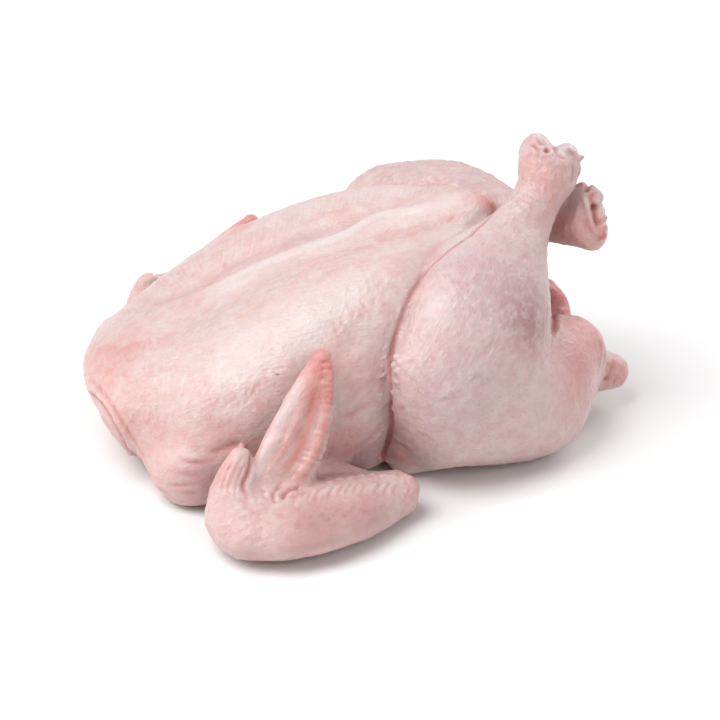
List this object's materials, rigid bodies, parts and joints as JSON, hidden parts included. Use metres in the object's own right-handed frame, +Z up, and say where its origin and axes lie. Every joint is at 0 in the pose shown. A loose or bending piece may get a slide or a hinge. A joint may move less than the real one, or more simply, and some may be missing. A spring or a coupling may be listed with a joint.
{
  "type": "whole raw chicken",
  "caption": "Whole raw plucked chicken lying on its back, drumsticks crossed over the open vent and wings folded at its sides.",
  "frame": {"origin": "on the surface the bird lies on, in the middle of the flat its back rests on", "axes": "+X from the neck to the tail, +Y towards the bird's left side, +Z up from the back to the breast"},
  "size_m": [0.2567, 0.2522, 0.1392],
  "materials": {
    "skin": "moist raw skin, whitish pink with redder folds and tips"
  },
  "bodies": {
    "root": {"chicken": "skin"}
  },
  "joints": []
}
